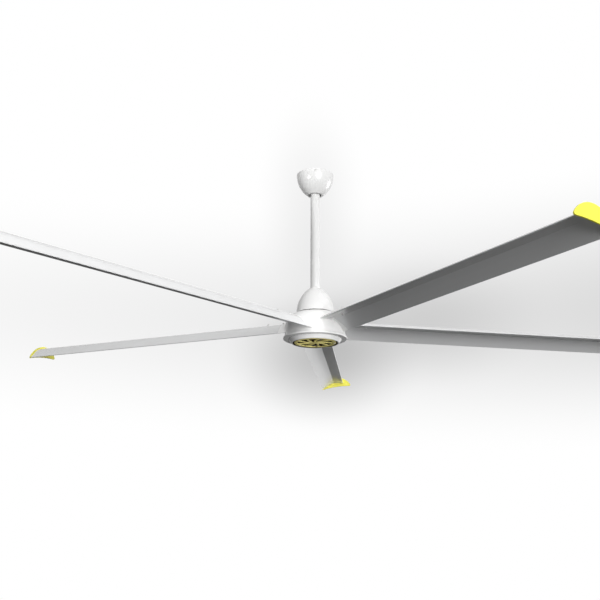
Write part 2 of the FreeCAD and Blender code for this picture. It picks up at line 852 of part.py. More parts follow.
def grille_screw_ways():
    return at_grille_screws(screw_way(grille_screw_radius, grille_screw_length()))


def grille_screws():
    return at_grille_screws(screw(grille_screw_radius, grille_screw_length(), grille_screw_head_radius,
                                  grille_screw_head_height))


# Blades: hollow sections slid on the tongues and bolted through
def blade_bolt_radii():
    return [blade_bolt_inner_radius, blade_bolt_inner_radius + blade_bolt_spacing]


def bolt_line():
    slope = math.atan2(crease_height, flat_length)
    top_radius = (crest_position ** 2 + crest_height ** 2) / (2 * crest_height)
    top_x = crest_position - top_radius * math.sin(slope)
    top_y = crest_height - top_radius * (1 - math.cos(slope))
    drop = (top_y - top_x * math.tan(slope)) * math.cos(slope)
    low_x = top_x + drop * math.sin(slope)
    low_y = top_y - drop * math.cos(slope)
    return (low_x, low_y), (top_x, top_y)


def bolt_place(axis_radius):
    low, high = bolt_line()
    start = on_section(low[0], low[1], axis_radius)
    end = on_section(high[0], high[1], axis_radius)
    return start, end, end.sub(start)


def bolt_way(axis_radius):
    start, end, along = bolt_place(axis_radius)
    way = Part.makeCylinder(blade_bolt_radius + seat_gap, 3 * along.Length, Vector(0, 0, -along.Length))
    return aimed(way, start, along)


def blade():
    start = root_end + blade_start_gap
    length = blade_end_radius - start
    body = section_prism(section_wire(start), length)
    body = drilled(body, cell_prisms(start, length, blade_wall, web_thickness))
    ways = [bolt_way(axis_radius) for axis_radius in blade_bolt_radii()]
    return drilled(body, ways + [at_cap_screw(screw_way(cap_screw_radius, cap_screw_length()))])


def blade_bolts():
    start, end, along = bolt_place(0)
    shank = Part.makeCylinder(blade_bolt_radius, along.Length + blade_nut_height)
    rim = rz(blade_bolt_head_radius, 0)
    pole = rz(0, -blade_bolt_head_height)
    crown = (pole, bowed_middle(pole, rim, blade_bolt_head_bulge), rim)
    bolt = shank.fuse(revolved([crown, (rim, centre), (centre, pole)]))
    solids = []
    for axis_radius in blade_bolt_radii():
        solids += around(aimed(bolt, bolt_place(axis_radius)[0], along), blade_count, first_blade_angle)
    return solids


def blade_nuts():
    start, end, along = bolt_place(0)
    dome = Part.makeSphere(blade_nut_dome_radius, Vector(0, 0, blade_nut_height))
    nut = hexagon(blade_nut_flats, blade_nut_height)
    flat = hexagon(blade_nut_flats, blade_nut_height + blade_nut_dome)
    nut = nut.fuse(dome.common(flat)).cut(Part.makeCylinder(blade_bolt_radius + seat_gap, blade_nut_height))
    solids = []
    for axis_radius in blade_bolt_radii():
        solids += around(aimed(nut, bolt_place(axis_radius)[1], along), blade_count, first_blade_angle)
    return solids


# Tip caps: a plate larger than the section, square to the blade, with plugs that fill its end
def crown_middle(end, crest):
    run = end[0] - crest[0]
    rise = crest[1] - end[1]
    radius = (run * run + rise * rise) / (2 * rise)
    half = math.atan2(run, radius - rise) / 2
    return (crest[0] + radius * math.sin(half), crest[1] - radius * (1 - math.cos(half)))


def belly_middle(lobe, tail):
    length = math.hypot(tail[0] - lobe[0], tail[1] - lobe[1])
    along = (lobe[0] + tail[0]) / 2 - cap_belly * (tail[1] - lobe[1]) / length
    above = (lobe[1] + tail[1]) / 2 + cap_belly * (tail[0] - lobe[0]) / length
    return (along, above)


def cap_plate():
    lobe = (-cap_lobe, -cap_drop)
    crest = (cap_crest_position, crest_height + cap_crest_rise)
    tail_low = (blade_chord + cap_tail_cover, -cap_tail_cover)
    tail_high = (blade_chord + cap_tail_cover, tail_thickness + cap_tail_cover)
    stretches = [
        (lobe, belly_middle(lobe, tail_low), tail_low),
        (tail_low, tail_high),
        (tail_high, crown_middle(tail_high, crest), crest),
        (crest, crown_middle(lobe, crest), lobe),
    ]
    outline = [[on_section(x, y, blade_end_radius) for x, y in stretch] for stretch in stretches]
    plate = section_prism(Part.Wire(path_edges(outline)), cap_thickness)
    lobe_edge = min(plate.Edges, key=lambda edge: edge.CenterOfMass.y)
    plate = plate.makeFillet(cap_lobe_rounding, [lobe_edge])
    outer = max(plate.Faces, key=lambda side: side.CenterOfMass.x)
    return plate.makeFillet(cap_rim_rounding, outer.Edges)


def tip_cap():
    plug_start = blade_end_radius - cap_plug_length
    plugs = cell_prisms(plug_start, cap_plug_length, blade_wall + slide_fit, web_thickness + 2 * slide_fit)
    body = cap_plate().fuse(plugs)
    inset = blade_wall + slide_fit + cap_plug_wall
    web_room = web_thickness + 2 * slide_fit + 2 * cap_plug_wall
    hollows = cell_prisms(plug_start, cap_plug_length + cap_hollow_depth, inset, web_room)
    way = at_cap_screw(screw_way(cap_screw_radius, cap_screw_length()))
    return drilled(body, hollows + [way]).removeSplitter()


def at_cap_screw(shape):
    start, end, along = bolt_place(blade_end_radius - cap_screw_inset)
    return aimed(shape, start, along)


def cap_screw_length():
    return blade_wall + slide_fit + cap_plug_wall


def tip_cap_screws():
    one = screw(cap_screw_radius, cap_screw_length(), cap_screw_head_radius, cap_screw_head_height)
    return around(at_cap_screw(one), blade_count, first_blade_angle)


save("ceiling_bracket", [ceiling_bracket()])
save("hanger_bolt", [hanger_bolt()])
save("hanger_nut", [hanger_nut()])
save("canopy", [canopy()])
save("canopy_screws", canopy_screws())
save("downrod", [downrod()])
save("hanger_bush", [hanger_bush()])
save("coupling_bolts", coupling_bolts())
save("coupling_nuts", coupling_nuts())
save("motor_shaft", [motor_shaft()])
save("dome_cover", [dome_cover()])
save("dome_set_screws", dome_set_screws())
save("stator_hub", [stator_hub()])
save("stator_core", [stator_core()])
save("stator_coils", stator_coils())
save("bearing_inner_rings", bearing_inner_rings())
save("shaft_nut", [shaft_nut()])
save("hub_casting", [hub_casting()])
save("upper_end_plate", [upper_end_plate()])
save("upper_plate_screws", upper_plate_screws())
save("rotor_ring", [rotor_ring()])
save("rotor_magnets", rotor_magnets())
save("bearing_outer_rings", bearing_outer_rings())
save("lower_end_plate", [lower_end_plate()])
save("lower_plate_screws", lower_plate_screws())
save("bottom_cover", [bottom_cover()])
save("grille", [grille()])
save("grille_screws", grille_screws())
for number, solid in enumerate(around(blade(), blade_count, first_blade_angle), 1):
    save("blade_%d" % number, [solid])
for number, solid in enumerate(around(tip_cap(), blade_count, first_blade_angle), 1):
    save("tip_cap_%d" % number, [solid])
save("blade_bolts", blade_bolts())
save("blade_nuts", blade_nuts())
save("tip_cap_screws", tip_cap_screws())
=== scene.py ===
# %% [markdown]
# # Industrial ceiling fan
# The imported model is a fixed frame: every node already sits where it belongs, in metres, with the ceiling
# at height 0. This lesson gives it a camera, light and finishes, and swaps the plain fasteners for ones
# with sockets, recesses and chamfers.

# %% Load the frame
import bmesh
import bpy
import json
import math
from mathutils import Matrix, Vector


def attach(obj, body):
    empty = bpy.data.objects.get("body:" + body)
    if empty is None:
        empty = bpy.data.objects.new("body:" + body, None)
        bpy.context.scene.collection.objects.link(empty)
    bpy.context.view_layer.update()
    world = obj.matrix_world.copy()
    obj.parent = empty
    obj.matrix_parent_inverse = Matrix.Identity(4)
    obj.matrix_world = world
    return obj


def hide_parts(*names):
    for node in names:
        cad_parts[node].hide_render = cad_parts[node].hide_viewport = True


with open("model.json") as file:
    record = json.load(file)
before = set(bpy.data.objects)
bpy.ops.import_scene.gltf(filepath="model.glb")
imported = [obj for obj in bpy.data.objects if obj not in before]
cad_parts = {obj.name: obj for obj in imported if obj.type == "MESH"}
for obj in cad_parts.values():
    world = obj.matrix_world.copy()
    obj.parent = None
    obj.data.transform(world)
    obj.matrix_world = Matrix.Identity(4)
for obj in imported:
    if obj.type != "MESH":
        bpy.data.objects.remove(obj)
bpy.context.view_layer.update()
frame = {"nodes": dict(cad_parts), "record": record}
scene = bpy.context.scene
scene.view_settings.view_transform = "Standard"

# %% [markdown]
# ## Camera
# The photograph was taken from below, straight in front of the fan, with the camera tilted up. Lines
# fitted to the five blades gave the lens, the distance and the height. The fan hangs a little right of the
# middle because the frame was cropped, and a small sensor shift says that better than turning the camera.

# %% Camera
sensor_width = 36.0
lens = 46.886
crop_shift = -0.0253
camera_place = (0.0, -4.7132, -2.1682)
upward_tilt = 15.666
camera_data = bpy.data.cameras.new("photo_camera")
camera_data.sensor_width = sensor_width
camera_data.lens = lens
camera_data.shift_x = crop_shift
camera = bpy.data.objects.new("photo_camera", camera_data)
camera.location = camera_place
camera.rotation_euler = (math.radians(90 + upward_tilt), 0.0, 0.0)
scene.collection.objects.link(camera)
scene.camera = camera
print("camera", camera_place, "lens", lens)

# %% [markdown]
# ## Helpers for node trees
# The world, the floor and every finish are node trees. Each helper adds one node, wires it up and hands
# back what it puts out. A value may be a number, which goes on the socket, or another node's output.

# %% Sums, ranges and mixes


def feed(tree, socket, value):
    if isinstance(value, (int, float, tuple)):
        socket.default_value = value
    else:
        tree.links.new(value, socket)


def maths(tree, operation, first, second=0.0):
    node = tree.nodes.new("ShaderNodeMath")
    node.operation = operation
    feed(tree, node.inputs[0], first)
    feed(tree, node.inputs[1], second)
    return node.outputs[0]


def vector_maths(tree, operation, source, fixed=(0.0, 0.0, 0.0)):
    node = tree.nodes.new("ShaderNodeVectorMath")
    node.operation = operation
    node.inputs[1].default_value = fixed
    tree.links.new(source, node.inputs[0])
    return node.outputs


def remap(tree, value, start, stop, low=0.0, high=1.0):
    node = tree.nodes.new("ShaderNodeMapRange")
    for label, given in (("Value", value), ("From Min", start), ("From Max", stop), ("To Min", low), ("To Max", high)):
        feed(tree, node.inputs[label], given)
    return node.outputs[0]


def mixed(tree, factor, first, second, blend_type="MIX"):
    node = tree.nodes.new("ShaderNodeMix")
    node.data_type = "RGBA"
    node.blend_type = blend_type
    feed(tree, node.inputs["Factor"], factor)
    for label, colour in (("A", first), ("B", second)):
        feed(tree, node.inputs[label], (*colour, 1.0) if isinstance(colour, tuple) else colour)
    return node.outputs["Result"]


print("helpers", [helper.__name__ for helper in (maths, vector_maths, remap, mixed)])

# %% [markdown]
# ## World
# All greys of the sky are soft ramps over the direction of a ray: along an axis, or round a point as an
# oval cloud.

# %% Ramps and clouds
world = bpy.data.worlds.new("studio")
scene.world = world
world.use_nodes = True
sky = world.node_tree
sky.nodes.clear()
direction = sky.nodes.new("ShaderNodeTexCoord").outputs["Generated"]


def grey_ramp(source, stops):
    node = sky.nodes.new("ShaderNodeValToRGB")
    sky.links.new(source, node.inputs["Fac"])
    ramp = node.color_ramp
    ramp.interpolation = "EASE"
    while len(ramp.elements) < len(stops):
        ramp.elements.new(0.5)
    for element, (place, grey) in zip(ramp.elements, stops):
        element.position = place
        element.color = (grey, grey, grey, 1)
    return node.outputs["Color"]


def along(axis, stops):
    reach = vector_maths(sky, "DOT_PRODUCT", direction, axis)["Value"]
    return grey_ramp(remap(sky, reach, -1.0, 1.0), stops)


def cloud(way, squeeze, darkest):
    away = vector_maths(sky, "SUBTRACT", direction, way)["Vector"]
    oval = vector_maths(sky, "MULTIPLY", away, squeeze)["Vector"]
    gradient = sky.nodes.new("ShaderNodeTexGradient")
    gradient.gradient_type = "SPHERICAL"
    sky.links.new(oval, gradient.inputs[0])
    return grey_ramp(gradient.outputs["Fac"], [(0.0, 1.0), (1.0, darkest)])


def darkened(first, second, where=1.0):
    return mixed(sky, where, first, second, blend_type="MULTIPLY")


print("sky", world.name)

# %% [markdown]
# The backdrop is white with a wide pale cloud and three smaller ones behind the hub and the pipe, which let
# white paint stand out. In reflections it ends in a dark room at the sides and below, lower on the right
# than on the left. The surfaces are lit by a weaker sky that is darker below than above, so the undersides
# of the blades fall into grey.

# %% Backdrop, dark room and ambient sky
backdrop = cloud(way=(0.644, 0.726, 0.241), squeeze=(0.63, 1.0, 5.68), darkest=0.67)
right_cloud = cloud(way=(0.133, 0.961, 0.241), squeeze=(5.9, 1.0, 10.7), darkest=0.80)
hub_cloud = cloud(way=(0.01, 0.980, 0.197), squeeze=(7.5, 1.0, 10.2), darkest=0.62)
pipe_cloud = cloud(way=(-0.005, 0.925, 0.381), squeeze=(13.1, 1.0, 7.3), darkest=0.88)
for small_cloud in (right_cloud, hub_cloud, pipe_cloud):
    backdrop = darkened(backdrop, small_cloud)
low_dark = along((0.35, 0.0, 0.94), [(0.43, 0.05), (0.456, 1.0)])
side_dark = along((0.0, 1.0, 0.0), [(0.84, 0.25), (0.95, 1.0)])
ambient = along((0.0, 0.0, 1.0), [(0.0, 0.05), (0.5, 0.055), (0.7, 0.23), (1.0, 1.5)])
print("sky nodes", len(sky.nodes))

# %% [markdown]
# Camera rays and mirror reflections see the backdrop, and everything else the ambient sky. Light Path tells
# these apart.

# %% World surface
path = sky.nodes.new("ShaderNodeLightPath").outputs
reflected = darkened(backdrop, darkened(low_dark, side_dark), where=path["Is Glossy Ray"])
mirrored = maths(sky, "MAXIMUM", path["Is Glossy Ray"], path["Is Transmission Ray"])
seen = maths(sky, "MAXIMUM", path["Is Camera Ray"], mirrored)
background = sky.nodes.new("ShaderNodeBackground")
sky.links.new(mixed(sky, seen, ambient, reflected), background.inputs["Color"])
sky.links.new(background.outputs[0], sky.nodes.new("ShaderNodeOutputWorld").inputs["Surface"])
print("world nodes", len(sky.nodes))

# %% [markdown]
# ## Lamps
# The bright sides in the photograph face the viewer and a little to the right, and the left sides fall off
# into grey, so one large softbox stands just right of the camera at the height of the hub. A smaller one
# stands far to the right, a little behind and below the fan, and lights what faces right. Three narrow
# beams lift the bottom ring with its grille, the canopy and the back blade's tip, and leave the rest as it is.

# %% Lamps
hub_centre = Vector((0.0, 0.0, -1.0))
ring_front = Vector((0.0, -0.16, -1.15))
canopy_middle = Vector((0.0, 0.0, -0.05))
back_tip = Vector((0.17, 2.10, -1.06))
bulb_radius = 0.2


def hang(lamp, azimuth, elevation, distance, target):
    holder = bpy.data.objects.new(lamp.name, lamp)
    turn, rise = math.radians(azimuth), math.radians(elevation)
    away = Vector((math.cos(rise) * math.cos(turn), math.cos(rise) * math.sin(turn), math.sin(rise)))
    holder.location = target + away * distance
    holder.rotation_euler = away.to_track_quat("Z", "Y").to_euler()
    scene.collection.objects.link(holder)
    print(lamp.name, tuple(round(v, 2) for v in holder.location), lamp.energy, "W")


def softbox(name, azimuth, elevation, distance, size, power):
    lamp = bpy.data.lights.new(name, "AREA")
    lamp.shape = "DISK"
    lamp.size = size
    lamp.energy = power
    hang(lamp, azimuth, elevation, distance, hub_centre)


def snoot(name, azimuth, elevation, distance, beam, power, target):
    lamp = bpy.data.lights.new(name, "SPOT")
    lamp.spot_size = math.radians(beam)
    lamp.spot_blend = 1.0
    lamp.shadow_soft_size = bulb_radius
    lamp.energy = power
    hang(lamp, azimuth, elevation, distance, target)


softbox("key_softbox", azimuth=-67.0, elevation=3.0, distance=7.0, size=4.0, power=350.0)
softbox("side_softbox", azimuth=25.0, elevation=-2.0, distance=7.0, size=2.5, power=230.0)
snoot("ring_snoot", azimuth=-72.0, elevation=-18.0, distance=4.0, beam=6.0, power=560.0, target=ring_front)
snoot("canopy_snoot", azimuth=-130.0, elevation=-10.0, distance=5.0, beam=5.0, power=600.0, target=canopy_middle)
snoot("tip_snoot", azimuth=-88.0, elevation=-7.0, distance=6.5, beam=3.5, power=1250.0, target=back_tip)

# %% [markdown]
# ## Floor
# A plain pale floor far below the fan. It is stage, not part of the object. The camera sees it pale, and the
# light that it throws back is weak.

# %% Floor
floor_height = -3.6
floor_radius = 3.5
floor_sides = 96
pale_floor = (0.80, 0.80, 0.79)
weak_bounce = (0.12, 0.12, 0.12)
step = 2 * math.pi / floor_sides
rim = [(floor_radius * math.cos(step * i), floor_radius * math.sin(step * i), 0.0) for i in range(floor_sides)]
floor_mesh = bpy.data.meshes.new("floor")
floor_mesh.from_pydata(rim, [], [range(floor_sides)])
floor = bpy.data.objects.new("floor", floor_mesh)
floor.location.z = floor_height
scene.collection.objects.link(floor)
floor_paint = bpy.data.materials.new("floor_paint")
floor_paint.use_nodes = True
floor_mesh.materials.append(floor_paint)
floor_tree = floor_paint.node_tree
floor_shader = floor_tree.nodes["Principled BSDF"]
floor_shader.inputs["Roughness"].default_value = 0.8
by_camera = floor_tree.nodes.new("ShaderNodeLightPath").outputs["Is Camera Ray"]
floor_tree.links.new(mixed(floor_tree, by_camera, weak_bounce, pale_floor), floor_shader.inputs["Base Color"])
print("floor at", floor_height)

# %% [markdown]
# It fades out towards its rim, so no edge shows against the backdrop, and its underside is clear, so a camera
# below it still sees the fan.

# %% Fade of the floor
fade_from = 1.6
floor_place = floor_tree.nodes.new("ShaderNodeTexCoord").outputs["Object"]
fade = remap(floor_tree, vector_maths(floor_tree, "LENGTH", floor_place)["Value"], fade_from, floor_radius)
underside = floor_tree.nodes.new("ShaderNodeNewGeometry").outputs["Backfacing"]
fading = floor_tree.nodes.new("ShaderNodeMixShader")
floor_tree.links.new(maths(floor_tree, "MAXIMUM", fade, underside), fading.inputs[0])
floor_tree.links.new(floor_shader.outputs[0], fading.inputs[1])
floor_tree.links.new(floor_tree.nodes.new("ShaderNodeBsdfTransparent").outputs[0], fading.inputs[2])
floor_tree.links.new(fading.outputs[0], floor_tree.nodes["Material Output"].inputs["Surface"])
print("floor fades from", fade_from, "to", floor_radius)

# %% [markdown]
# ## Shared surface effects
# Powder coat has a fine orange-peel skin and drifts a little in tone. Dust settles on what faces up. Both
# turn up in several finishes, so each is a node group with named sockets, built once. Noise mostly stays
# between 0.3 and 0.7, and `spread` stretches that over a range.

# %% Helpers for effects
noise_low = 0.3
noise_high = 0.7


def effect_group(name, inputs, outputs):
    group = bpy.data.node_groups.new(name, "ShaderNodeTree")
    for label, kind, value in inputs:
        socket = group.interface.new_socket(label, in_out="INPUT", socket_type=kind)
        if value is not None:
            socket.default_value = value
    for label in outputs:
        group.interface.new_socket(label, in_out="OUTPUT", socket_type="NodeSocketFloat")
    print("effect", name, outputs)
    return group, group.nodes.new("NodeGroupInput").outputs, group.nodes.new("NodeGroupOutput").inputs


def noise(tree, vector, scale, detail, stretch=None):
    if stretch is not None:
        vector = vector_maths(tree, "MULTIPLY", vector, stretch)["Vector"]
    cells = tree.nodes.new("ShaderNodeTexNoise")
    cells.inputs["Detail"].default_value = detail
    tree.links.new(vector, cells.inputs["Vector"])
    feed(tree, cells.inputs["Scale"], scale)
    return cells.outputs["Fac"]


def spread(tree, value, low, high):
    return remap(tree, value, noise_low, noise_high, low, high)


def axis_distance(tree, vector):
    flat = vector_maths(tree, "MULTIPLY", vector, (1.0, 1.0, 0.0))["Vector"]
    return vector_maths(tree, "LENGTH", flat)["Value"]


# %% [markdown]
# Orange peel has a fine height and a broad tone. Dust is a mask: strong where the surface faces straight up,
# and uneven.

# %% Orange peel and dust
place_input = ("Vector", "NodeSocketVector", None)
peel, peel_in, peel_out = effect_group(
    "orange_peel", [place_input, ("Grains Per Metre", "NodeSocketFloat", 420.0)], ["Height", "Tone"])
peel.links.new(noise(peel, peel_in["Vector"], peel_in["Grains Per Metre"], detail=2.0), peel_out["Height"])
peel.links.new(noise(peel, peel_in["Vector"], scale=7.0, detail=4.0), peel_out["Tone"])

dust, dust_in, dust_out = effect_group(
    "settled_dust",
    [place_input, ("Normal", "NodeSocketVector", None), ("Amount", "NodeSocketFloat", 0.3)], ["Mask"])
facing = dust.nodes.new("ShaderNodeSeparateXYZ")
dust.links.new(dust_in["Normal"], facing.inputs[0])
upward = maths(dust, "POWER", maths(dust, "MAXIMUM", facing.outputs["Z"], 0.0), 3.0)
drift = spread(dust, noise(dust, dust_in["Vector"], scale=11.0, detail=5.0), 0.25, 1.0)
lying = maths(dust, "MULTIPLY", upward, drift)
dust.links.new(maths(dust, "MULTIPLY", lying, dust_in["Amount"]), dust_out["Mask"])

# %% [markdown]
# Streaks are noise drawn out along X, fine and broad. Tool rings are a sine over the distance from the axis.

# %% Streaks and tool rings
streaks, streak_in, streak_out = effect_group(
    "span_streaks", [place_input, ("Lines Per Metre", "NodeSocketFloat", 1.0)], ["Fine", "Broad"])
for label, detail, stretch in (("Fine", 2.0, (0.8, 260.0, 260.0)), ("Broad", 3.0, (0.5, 34.0, 34.0))):
    lines = noise(streaks, streak_in["Vector"], streak_in["Lines Per Metre"], detail, stretch)
    streaks.links.new(lines, streak_out[label])

rings, rings_in, rings_out = effect_group(
    "tool_rings", [place_input, ("Rings Per Metre", "NodeSocketFloat", 900.0)], ["Height", "Tone"])
turns = maths(rings, "MULTIPLY", axis_distance(rings, rings_in["Vector"]), rings_in["Rings Per Metre"])
rings.links.new(maths(rings, "SINE", turns), rings_out["Height"])
rings.links.new(noise(rings, rings_in["Vector"], scale=40.0, detail=3.0), rings_out["Tone"])

# %% [markdown]
# ## A finish and its parts
# Every finish is a Principled shader with a colour that drifts between two tones, a roughness that drifts
# too, and a bump. The helper below holds these wires, and each finish feeds it its own pattern. Numbers that
# are the same all over go straight on the shader's sockets.

# %% Helper for finishes
grey_dust = (0.47, 0.45, 0.42)
coat_roughness = 0.15
finishes = {}
own_finishes = {}


class Finish:
    def __init__(self, name, metallic=0.0, coat=0.0, specular=0.5):
        self.material = bpy.data.materials.new(name)
        self.material.use_nodes = True
        self.tree = self.material.node_tree
        self.shader = self.tree.nodes["Principled BSDF"]
        self.shader.inputs["Metallic"].default_value = metallic
        self.shader.inputs["Coat Weight"].default_value = coat
        self.shader.inputs["Coat Roughness"].default_value = coat_roughness
        self.shader.inputs["Specular IOR Level"].default_value = specular
        self.place = self.tree.nodes.new("ShaderNodeTexCoord").outputs
        print("finish", name)

    def effect(self, group, **values):
        node = self.tree.nodes.new("ShaderNodeGroup")
        node.node_tree = group
        for label, value in values.items():
            feed(self.tree, node.inputs[label.replace("_", " ")], value)
        return node.outputs

    def skin(self, grains):
        return self.effect(peel, Vector=self.place["Object"], Grains_Per_Metre=grains)

    def blend(self, mask, first, second):
        return mixed(self.tree, mask, first, second)

    def dusted(self, paint, amount, colour=grey_dust):
        fallen = self.effect(dust, Vector=self.place["Object"], Normal=self.place["Normal"], Amount=amount)
        return self.blend(fallen["Mask"], paint, colour)

    def colour(self, source):
        self.tree.links.new(source, self.shader.inputs["Base Color"])

    def roughness(self, source):
        self.tree.links.new(source, self.shader.inputs["Roughness"])

    def bump(self, height, distance, strength):
        node = self.tree.nodes.new("ShaderNodeBump")
        node.inputs["Distance"].default_value = distance
        node.inputs["Strength"].default_value = strength
        self.tree.links.new(height, node.inputs["Height"])
        self.tree.links.new(node.outputs[0], self.shader.inputs["Normal"])


# %% [markdown]
# ## White powder coat
# The canopy, pipe, dome and bottom ring are coated sheet steel, and the hub is a coated casting. The coat
# is the same white on all of them. The casting shows a coarser skin. Inside the bottom ring, where the grille
# sits, the colour is painted shade: near black and dull, for the dark gap there.

# %% White finishes
grille_seat_radius = 0.1404
# Painted shade inside the bottom ring, round the grille: a near-black colour and a dull roughness.
painted_shade_colour = (0.030, 0.016, 0.006)
painted_shade_roughness = 0.95


def white_coat(name, grains, depth, rough, painted_shade_radius=0.0):
    finish = Finish(name, coat=0.15)
    skin = finish.skin(grains)
    paint = finish.blend(skin["Tone"], (0.87, 0.87, 0.86), (0.91, 0.91, 0.91))
    sheen = spread(finish.tree, skin["Tone"], *rough)
    # Within the grille's seat radius the white paint gives way to painted shade.
    if painted_shade_radius:
        reach = axis_distance(finish.tree, finish.place["Object"])
        in_painted_shade = maths(finish.tree, "LESS_THAN", reach, painted_shade_radius)
        paint = finish.blend(in_painted_shade, paint, painted_shade_colour)
        sheen = maths(finish.tree, "MAXIMUM", sheen, maths(finish.tree, "MULTIPLY", in_painted_shade, painted_shade_roughness))
    finish.colour(finish.dusted(paint, amount=0.35))
    finish.roughness(sheen)
    finish.bump(skin["Height"], depth, strength=0.5)
    return finish.material


sheet = {"grains": 520.0, "depth": 0.00012, "rough": (0.19, 0.30)}
finishes["white_steel"] = white_coat("white_sheet_coat", **sheet)
finishes["white_casting"] = white_coat("white_casting_coat", grains=330.0, depth=0.0002, rough=(0.31, 0.42))
own_finishes["bottom_cover"] = white_coat("white_ring_coat", **sheet, painted_shade_radius=grille_seat_radius)

# %% [markdown]
# ## Blades
# Each blade is an extruded section with a thin silver-white coat. The die leaves faint lines along the
# span, so the pattern has to turn with the blade. A Mapping node turns Object coordinates by the blade's
# angle about the fan's axis, and each blade gets a material with its own angle.

# %% Blade finish
blade_count = 5
first_blade_angle = 85.3


def blade_coat(number):
    finish = Finish("blade_coat_%d" % number, coat=0.1)
    turned = finish.tree.nodes.new("ShaderNodeMapping")
    angle = first_blade_angle + 360.0 * (number - 1) / blade_count
    turned.inputs["Rotation"].default_value[2] = -math.radians(angle)
    finish.tree.links.new(finish.place["Object"], turned.inputs["Vector"])
    lines = finish.effect(streaks, Vector=turned.outputs[0], Lines_Per_Metre=1.0)
    skin = finish.skin(grains=700.0)
    coat = finish.blend(lines["Broad"], (0.79, 0.795, 0.80), (0.85, 0.855, 0.86))
    finish.colour(finish.dusted(coat, amount=0.4))
    finish.roughness(spread(finish.tree, lines["Fine"], 0.14, 0.21))
    finish.bump(maths(finish.tree, "ADD", lines["Fine"], skin["Height"]), distance=0.00005, strength=0.5)
    return finish.material


for number in range(1, blade_count + 1):
    own_finishes["blade_%d" % number] = blade_coat(number)

# %% [markdown]
# ## Yellow tip plates
# The tips are moulded in lemon yellow plastic with a fine spark-eroded grain.

# %% Tip finish
tip = Finish("lemon_moulding", coat=0.1)
grain = tip.skin(grains=900.0)
lemon = tip.blend(grain["Tone"], (0.90, 0.84, 0.07), (0.93, 0.88, 0.11))
tip.colour(tip.dusted(lemon, amount=0.3, colour=(0.47, 0.45, 0.36)))
tip.roughness(spread(tip.tree, grain["Tone"], 0.34, 0.46))
tip.bump(grain["Height"], distance=0.0002, strength=0.6)
finishes["tip_yellow"] = tip.material

# %% [markdown]
# ## Finishes with one skin
# Five more finishes are one orange-peel skin with two colours and a range of roughness. The pinwheel is
# painted gold. The cast cover behind it is coloured near black as painted shade, so the openings read as shadow.
# The shaft and its nut are coloured dark brown as painted shade. Magnets and rubber are plain black with a fine grain.

# %% Gold, cover and shaft in painted shade, magnet and rubber


def skinned(name, grains, colours, rough, depth, strength, colour_by="Tone", rough_by="Tone", **shader):
    finish = Finish(name, **shader)
    skin = finish.skin(grains)
    finish.colour(finish.blend(skin[colour_by], *colours))
    finish.roughness(spread(finish.tree, skin[rough_by], *rough))
    finish.bump(skin["Height"], depth, strength)
    return finish.material


finishes["grille_gold"] = skinned(
    "satin_gold_paint", grains=1500.0, colours=((0.90, 0.79, 0.26), (0.97, 0.88, 0.36)), rough=(0.55, 0.65),
    depth=0.00015, strength=0.5, colour_by="Height", metallic=0.3)
# Painted shade: the cover behind the grille is coloured near black so that its openings read as shadow.
finishes["dark_casting"] = skinned(
    "dark_cast_cover", grains=260.0, colours=((0.034, 0.017, 0.006), (0.070, 0.038, 0.014)), rough=(0.55, 0.75),
    depth=0.0008, strength=0.8, specular=0.05)
# Painted shade: the shaft and its nut are coloured dark brown for the shade they sit in.
own_finishes["motor_shaft"] = own_finishes["shaft_nut"] = skinned(
    "greasy_zinc", grains=300.0, colours=((0.05, 0.032, 0.016), (0.11, 0.08, 0.045)), rough=(0.45, 0.65),
    depth=0.0002, strength=0.5, rough_by="Height", metallic=0.3, specular=0.2)
finishes["magnet_black"] = skinned(
    "magnet_skin", grains=1200.0, colours=((0.03, 0.03, 0.032), (0.08, 0.08, 0.085)), rough=(0.35, 0.5),
    depth=0.0001, strength=0.7, colour_by="Height")
finishes["black_rubber"] = skinned(
    "rubber_skin", grains=800.0, colours=((0.012, 0.012, 0.012), (0.035, 0.034, 0.033)), rough=(0.65, 0.8),
    depth=0.0003, strength=0.7, colour_by="Height")

# %% [markdown]
# ## Metals and windings
# Zinc with a dull spangle shows on every fastener. The rest shows only where a cover is off or from odd angles,
# but each gets its own pattern: turned aluminium has tool rings, the core is a stack of thin sheets, and the
# coils are rows of wire.

# %% Zinc and turned aluminium
zinc = Finish("zinc_plate", metallic=0.5)
spangle = zinc.tree.nodes.new("ShaderNodeTexVoronoi")
spangle.inputs["Scale"].default_value = 160.0
zinc.tree.links.new(zinc.place["Object"], spangle.inputs["Vector"])
zinc.colour(zinc.blend(spangle.outputs["Distance"], (0.80, 0.80, 0.79), (0.90, 0.90, 0.88)))
zinc_skin = zinc.skin(grains=900.0)
zinc.roughness(spread(zinc.tree, zinc_skin["Tone"], 0.28, 0.40))
zinc.bump(zinc_skin["Height"], distance=0.0001, strength=0.5)
finishes["zinc_steel"] = zinc.material

aluminium = Finish("turned_aluminium", metallic=0.8)
marks = aluminium.effect(rings, Vector=aluminium.place["Object"], Rings_Per_Metre=2600.0)
aluminium.colour(aluminium.blend(marks["Tone"], (0.52, 0.52, 0.53), (0.62, 0.62, 0.63)))
aluminium.roughness(spread(aluminium.tree, marks["Tone"], 0.38, 0.5))
aluminium.bump(marks["Height"], distance=0.00008, strength=0.6)
finishes["plain_aluminium"] = aluminium.material

# %% [markdown]
# Sheets and wires are both level bands, so one helper with a Wave texture makes them.

# %% Core and coils


def banded(name, bands, colours, rough, depth, metallic):
    finish = Finish(name, metallic=metallic)
    wave = finish.tree.nodes.new("ShaderNodeTexWave")
    wave.bands_direction = "Z"
    wave.inputs["Scale"].default_value = bands
    wave.inputs["Distortion"].default_value = 0.2
    finish.tree.links.new(finish.place["Object"], wave.inputs["Vector"])
    finish.colour(finish.blend(wave.outputs["Fac"], *colours))
    finish.roughness(spread(finish.tree, wave.outputs["Fac"], *rough))
    finish.bump(wave.outputs["Fac"], depth, strength=0.8)
    return finish.material


